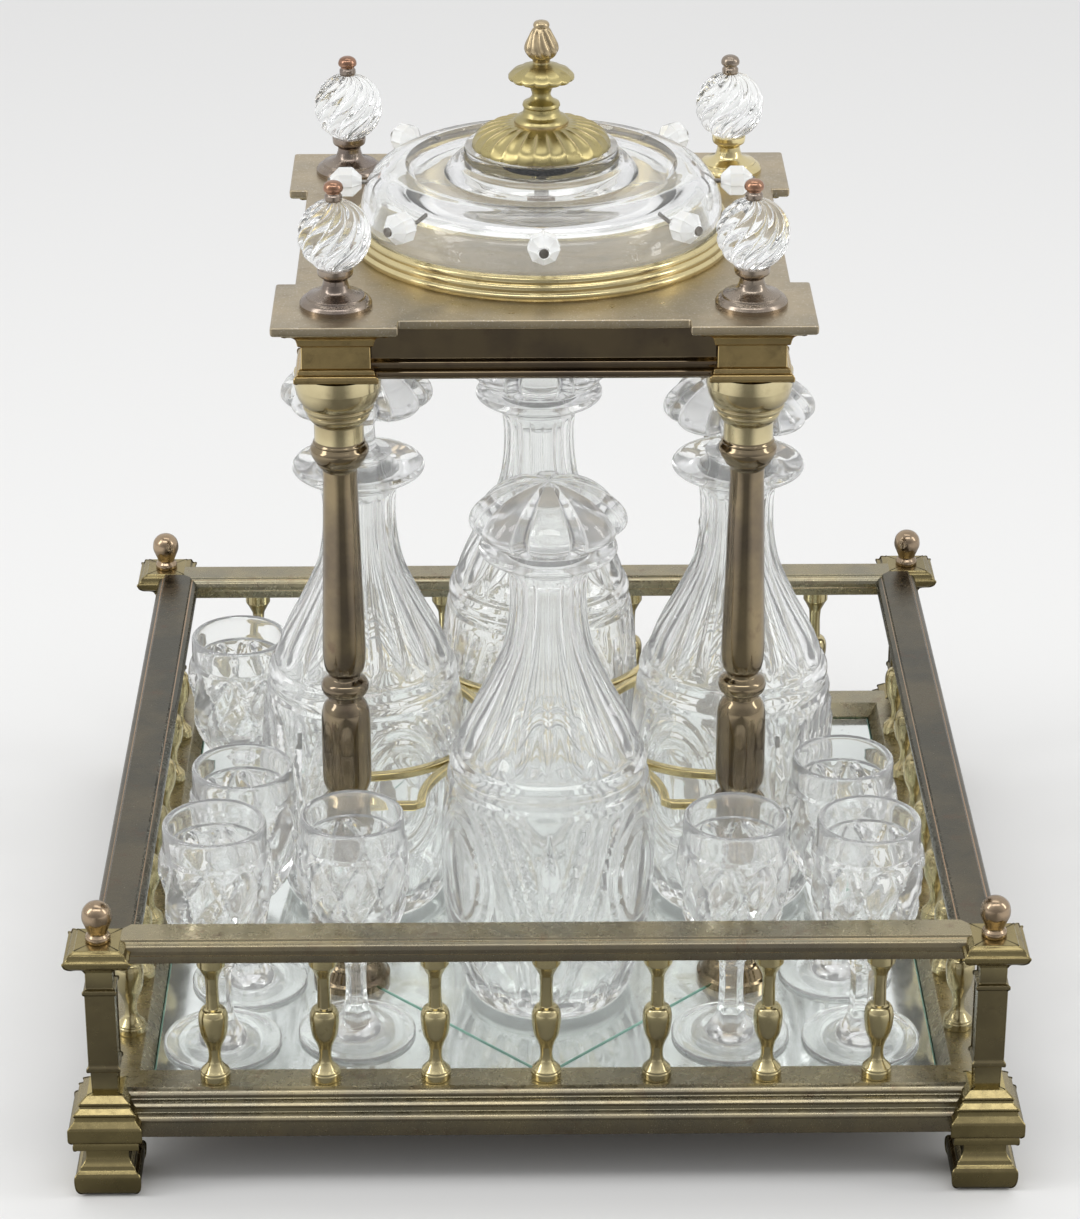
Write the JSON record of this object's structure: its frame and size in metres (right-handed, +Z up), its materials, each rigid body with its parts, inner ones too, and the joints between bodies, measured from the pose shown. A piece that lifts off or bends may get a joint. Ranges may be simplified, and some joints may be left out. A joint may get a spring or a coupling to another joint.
{
  "type": "tantalus",
  "caption": "Square brass tantalus with a balustrade, mirrored floor, columns and a canopy with a lift-off glass dome over decanters and goblets.",
  "frame": {"origin": "on the ground under the middle of the tray", "axes": "+Z up, front faces -Y, +X to the right"},
  "size_m": [0.3254, 0.3254, 0.3676],
  "materials": {
    "tarnished_brass": "tarnished brass with brown and grey patina",
    "bright_brass": "worn bright brass",
    "cut_glass": "clear cut glass",
    "mirror": "old mirror with green cut edges",
    "board": "plain stained board",
    "steel": "plain iron rod"
  },
  "bodies": {
    "stand": {"base_board": "board", "mirror_centre_pane": "mirror", "mirror_corner_panes": "mirror", "tray_rail_front": "tarnished_brass", "tray_rail_back": "tarnished_brass", "tray_rail_left": "tarnished_brass", "tray_rail_right": "tarnished_brass", "corner_blocks": "bright_brass", "corner_feet": "bright_brass", "corner_posts": "tarnished_brass", "post_caps": "tarnished_brass", "post_balls": "tarnished_brass", "post_rods": "steel", "gallery_rail_front": "tarnished_brass", "gallery_rail_back": "tarnished_brass", "gallery_rail_left": "tarnished_brass", "gallery_rail_right": "tarnished_brass", "balusters_front": "bright_brass", "balusters_back": "bright_brass", "balusters_left": "bright_brass", "balusters_right": "bright_brass", "column_feet": "tarnished_brass", "columns": "tarnished_brass", "column_capitals": "bright_brass", "tie_rods": "steel", "tie_rod_nuts": "bright_brass", "canopy_plate": "tarnished_brass", "canopy_beams": "tarnished_brass", "canopy_corner_blocks": "bright_brass", "dome_ring": "bright_brass", "swirl_finial_feet": "tarnished_brass", "swirl_finial_balls": "cut_glass", "swirl_finial_knobs": "tarnished_brass", "holder_band_front": "bright_brass", "holder_band_back": "bright_brass", "holder_band_left": "bright_brass", "holder_band_right": "bright_brass"},
    "lid": {"dome_glass": "cut_glass", "dome_cap": "bright_brass", "finial_stem": "bright_brass", "finial_bud": "bright_brass", "finial_rod": "steel", "finial_nut": "bright_brass", "glass_beads": "cut_glass", "bead_pins": "steel"},
    "front_decanter": {"decanter_front": "cut_glass"},
    "front_stopper": {"stopper_front": "cut_glass"},
    "back_decanter": {"decanter_back": "cut_glass"},
    "back_stopper": {"stopper_back": "cut_glass"},
    "left_decanter": {"decanter_left": "cut_glass"},
    "left_stopper": {"stopper_left": "cut_glass"},
    "right_decanter": {"decanter_right": "cut_glass"},
    "right_stopper": {"stopper_right": "cut_glass"},
    "corner_left_goblet": {"goblet_corner_left": "cut_glass"},
    "front_left_goblet": {"goblet_front_left": "cut_glass"},
    "side_left_goblet": {"goblet_side_left": "cut_glass"},
    "far_left_goblet": {"goblet_far_left": "cut_glass"},
    "corner_right_goblet": {"goblet_corner_right": "cut_glass"},
    "front_right_goblet": {"goblet_front_right": "cut_glass"},
    "side_right_goblet": {"goblet_side_right": "cut_glass"}
  },
  "joints": [
    {"name": "lid_lift", "type": "slide", "parent": "stand", "child": "lid", "axis": [0, 0, 1], "range_m": [0, 0.08]},
    {"name": "front_decanter_lift", "type": "slide", "parent": "stand", "child": "front_decanter", "axis": [0, 0, 1], "range_m": [0, 0.012]},
    {"name": "front_stopper_lift", "type": "slide", "parent": "front_decanter", "child": "front_stopper", "axis": [0, 0, 1], "range_m": [0, 0.017]},
    {"name": "back_decanter_lift", "type": "slide", "parent": "stand", "child": "back_decanter", "axis": [0, 0, 1], "range_m": [0, 0.012]},
    {"name": "back_stopper_lift", "type": "slide", "parent": "back_decanter", "child": "back_stopper", "axis": [0, 0, 1], "range_m": [0, 0.017]},
    {"name": "left_decanter_lift", "type": "slide", "parent": "stand", "child": "left_decanter", "axis": [0, 0, 1], "range_m": [0, 0.005]},
    {"name": "left_stopper_lift", "type": "slide", "parent": "left_decanter", "child": "left_stopper", "axis": [0, 0, 1], "range_m": [0, 0.015]},
    {"name": "right_decanter_lift", "type": "slide", "parent": "stand", "child": "right_decanter", "axis": [0, 0, 1], "range_m": [0, 0.01]},
    {"name": "right_stopper_lift", "type": "slide", "parent": "right_decanter", "child": "right_stopper", "axis": [0, 0, 1], "range_m": [0, 0.015]},
    {"name": "corner_left_goblet_lift", "type": "slide", "parent": "stand", "child": "corner_left_goblet", "axis": [0, 0, 1], "range_m": [0, 0.1]},
    {"name": "front_left_goblet_lift", "type": "slide", "parent": "stand", "child": "front_left_goblet", "axis": [0, 0, 1], "range_m": [0, 0.1]},
    {"name": "side_left_goblet_lift", "type": "slide", "parent": "stand", "child": "side_left_goblet", "axis": [0, 0, 1], "range_m": [0, 0.1]},
    {"name": "far_left_goblet_lift", "type": "slide", "parent": "stand", "child": "far_left_goblet", "axis": [0, 0, 1], "range_m": [0, 0.1]},
    {"name": "corner_right_goblet_lift", "type": "slide", "parent": "stand", "child": "corner_right_goblet", "axis": [0, 0, 1], "range_m": [0, 0.1]},
    {"name": "front_right_goblet_lift", "type": "slide", "parent": "stand", "child": "front_right_goblet", "axis": [0, 0, 1], "range_m": [0, 0.1]},
    {"name": "side_right_goblet_lift", "type": "slide", "parent": "stand", "child": "side_right_goblet", "axis": [0, 0, 1], "range_m": [0, 0.1]}
  ]
}
